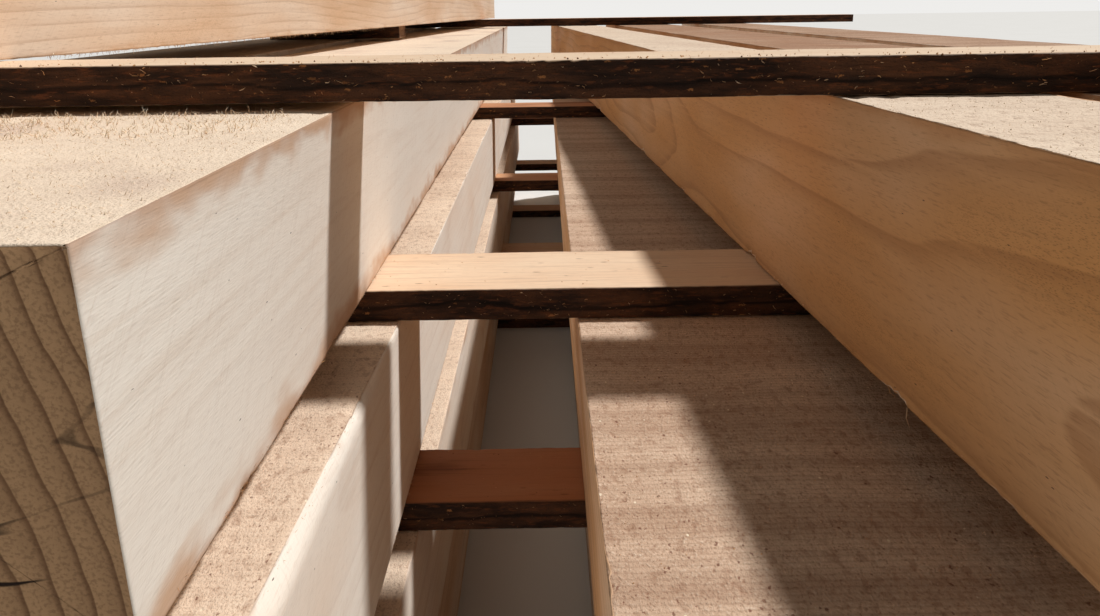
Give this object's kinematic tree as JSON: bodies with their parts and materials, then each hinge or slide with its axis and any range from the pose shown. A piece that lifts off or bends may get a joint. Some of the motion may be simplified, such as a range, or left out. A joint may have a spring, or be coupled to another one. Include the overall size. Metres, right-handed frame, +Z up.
{
  "type": "stack of lumber",
  "caption": "Air-drying stack of thick rough-sawn timbers in layers, held apart by crosswise bark-edged spacer strips, with an open flue along its middle.",
  "frame": {"origin": "on the floor, under the middle of the stack's overall box", "axes": "+Y along the timbers, away from the near end; +X to the right; +Z up"},
  "size_m": [1.456, 2.6, 0.692],
  "materials": {
    "timber": "rough sawn",
    "spacer": "rough sawn, bark on its long edges"
  },
  "bodies": {
    "root": {"spacer_1_far": "spacer", "spacer_1_middle": "spacer", "spacer_1_near": "spacer", "spacer_2_far": "spacer", "spacer_2_middle": "spacer", "spacer_2_near": "spacer", "spacer_3_far": "spacer", "spacer_3_middle": "spacer", "spacer_3_near": "spacer", "spacer_4_far": "spacer", "spacer_4_middle": "spacer", "spacer_4_near": "spacer", "spacer_5_far": "spacer", "spacer_5_middle": "spacer", "spacer_5_near": "spacer", "timber_1_left_1": "timber", "timber_1_left_2": "timber", "timber_1_right_1": "timber", "timber_1_right_2": "timber", "timber_1_right_3": "timber", "timber_2_left_1": "timber", "timber_2_left_2": "timber", "timber_2_right_1": "timber", "timber_2_right_2": "timber", "timber_2_right_3": "timber", "timber_3_left_1": "timber", "timber_3_left_2": "timber", "timber_3_right_1": "timber", "timber_3_right_2": "timber", "timber_3_right_3": "timber", "timber_4_left_1": "timber", "timber_4_left_2": "timber", "timber_4_right_1": "timber", "timber_4_right_2": "timber", "timber_4_right_3": "timber", "timber_5_left_1": "timber"}
  },
  "joints": []
}
